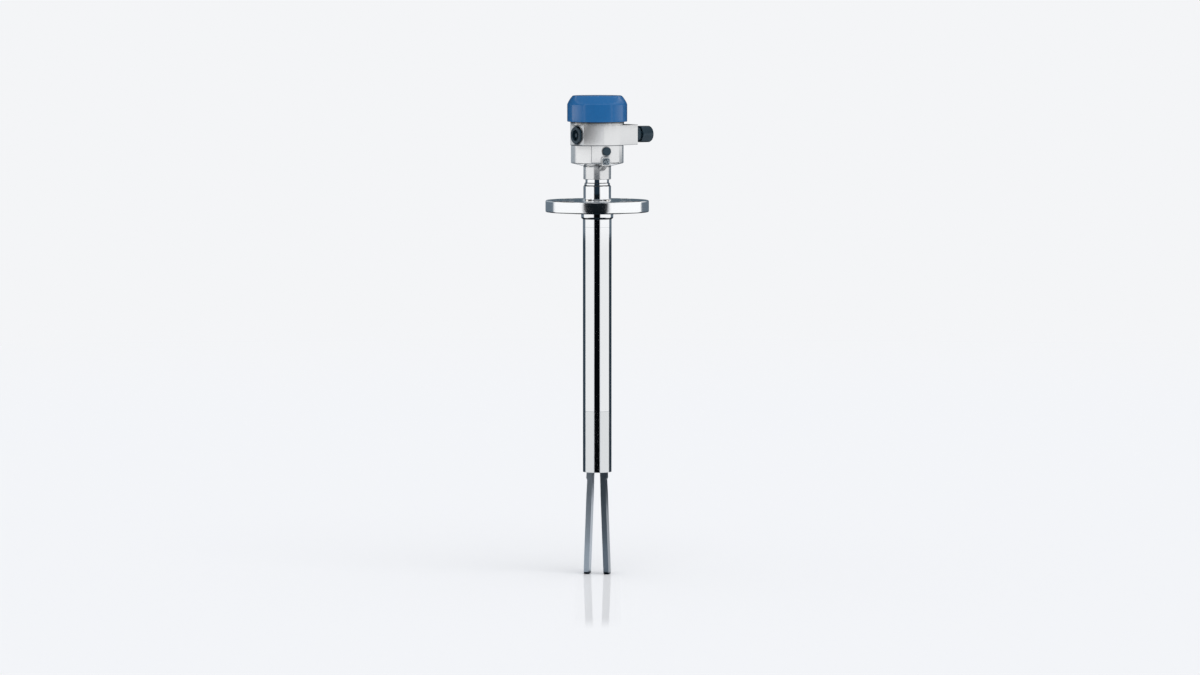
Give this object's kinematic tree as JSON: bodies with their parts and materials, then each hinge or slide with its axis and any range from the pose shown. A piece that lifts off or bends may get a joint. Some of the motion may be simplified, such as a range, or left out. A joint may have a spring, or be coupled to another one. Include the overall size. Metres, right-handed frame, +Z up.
{
  "type": "tuning fork level switch",
  "caption": "Vibrating fork level switch: steel tube probe with two tines, pipe flange, painted housing with side cable arm, gland, plug and round blue screw lid.",
  "frame": {"origin": "centre of the flange's raised sealing face", "axes": "+Z runs up the probe's axis to the housing, the fork hangs down -Z, and -Y is the front"},
  "size_m": [0.1595, 0.1524, 0.706],
  "materials": {
    "flange_steel": "turned stainless steel, bright",
    "polished_steel": "polished stainless steel",
    "ground_steel": "ground stainless steel",
    "fork_steel": "bead blasted stainless steel",
    "machined_steel": "plain machined steel",
    "terminal_steel": "zinc plated steel",
    "housing_paint": "light grey powder coat on die cast aluminium",
    "lid_paint": "blue powder coat on die cast aluminium",
    "black_plastic": "black moulded polyamide",
    "black_rubber": "black moulded rubber",
    "module_plastic": "dark grey moulded plastic",
    "terminal_plastic": "green black moulded plastic",
    "relay_plastic": "dark blue moulded plastic",
    "white_plastic": "white moulded plastic",
    "lamp_plastic": "green tinted clear plastic",
    "board_laminate": "green glass fibre laminate",
    "lead_insulation": "red silicone insulation",
    "contact_brass": "bright plated brass",
    "piezo_ceramic": "fired piezo ceramic",
    "white_ceramic": "fired white ceramic",
    "sealing_glass": "dark green sealing glass"
  },
  "bodies": {
    "probe": {"process_flange": "flange_steel", "process_fitting": "polished_steel", "extension_tube": "polished_steel", "fork_barrel": "ground_steel", "diaphragm": "ground_steel", "tine_left": "fork_steel", "tine_right": "fork_steel", "pressure_bridge": "machined_steel", "drive_stud": "machined_steel", "piezo_discs": "piezo_ceramic", "contact_plates": "contact_brass", "insulator_rings": "white_ceramic", "disc_spring": "machined_steel", "drive_nut": "machined_steel", "drive_leads": "lead_insulation", "lead_spacers": "white_plastic", "swivel_adapter": "polished_steel", "swivel_seal": "black_rubber", "retaining_ring": "machined_steel", "feedthrough": "sealing_glass", "centre_contact": "contact_brass"},
    "housing": {"housing_casting": "housing_paint", "electronics_module": "module_plastic", "module_base": "module_plastic", "circuit_board": "board_laminate", "output_relay": "relay_plastic", "contact_socket": "contact_brass", "terminal_block": "terminal_plastic", "terminal_screws": "machined_steel", "module_screws": "machined_steel", "signal_lamp": "lamp_plastic", "inner_ground_screw": "machined_steel", "ground_screw": "terminal_steel", "ground_spring_washer": "terminal_steel", "ground_clamp": "terminal_steel", "vent_cap": "black_plastic", "vent_membrane": "white_plastic", "gland_body": "black_plastic", "gland_body_seal": "black_rubber"},
    "lid_ring": {"lid_seal": "black_rubber"},
    "lid": {"lid": "lid_paint"},
    "gland_ring": {"gland_cage": "black_plastic", "gland_insert": "black_rubber"},
    "gland_cap": {"gland_nut": "black_plastic"},
    "plug_ring": {"plug_seal": "black_rubber"},
    "plug": {"blanking_plug": "black_plastic"},
    "mode_slider": {"mode_switch": "white_plastic"},
    "sensitivity": {"sensitivity_dial": "white_plastic"}
  },
  "joints": [
    {"name": "housing_swivel", "type": "hinge", "parent": "probe", "child": "housing", "pos_m": [0, 0, 0.06], "axis": [0, 0, 1], "range_deg": [-165, 165]},
    {"name": "lid_turn", "type": "hinge", "parent": "housing", "child": "lid_ring", "pos_m": [0, 0, 0.138], "axis": [0, 0, 1], "range_deg": [0, 2160]},
    {"name": "lid_rise", "type": "slide", "parent": "lid_ring", "child": "lid", "axis": [0, 0, 1], "range_m": [0, 0.0241]},
    {"name": "gland_turn", "type": "hinge", "parent": "housing", "child": "gland_ring", "pos_m": [0.0514, 0.03467, 0.11505], "axis": [0.829, 0.5592, 0], "range_deg": [0, 1440]},
    {"name": "gland_draw", "type": "slide", "parent": "gland_ring", "child": "gland_cap", "axis": [0.829, 0.5592, 0], "range_m": [0, 0.0061]},
    {"name": "plug_turn", "type": "hinge", "parent": "housing", "child": "plug_ring", "pos_m": [-0.02943, -0.01985, 0.11505], "axis": [-0.829, -0.5592, 0], "range_deg": [0, 2520]},
    {"name": "plug_draw", "type": "slide", "parent": "plug_ring", "child": "plug", "axis": [-0.829, -0.5592, 0], "range_m": [0, 0.0106]},
    {"name": "mode_slide", "type": "slide", "parent": "housing", "child": "mode_slider", "axis": [-0.5592, 0.829, 0], "range_m": [0, 0.004]},
    {"name": "sensitivity_turn", "type": "hinge", "parent": "housing", "child": "sensitivity", "pos_m": [-0.01556, 0.00519, 0.136], "axis": [0, 0, 1], "range_deg": [0, 270]}
  ],
  "couplings": [
    {"joint": "lid_rise", "follows": "lid_turn", "m_per_rad": 0.00063662},
    {"joint": "gland_draw", "follows": "gland_turn", "m_per_rad": 0.00023873},
    {"joint": "plug_draw", "follows": "plug_turn", "m_per_rad": 0.00023873}
  ]
}
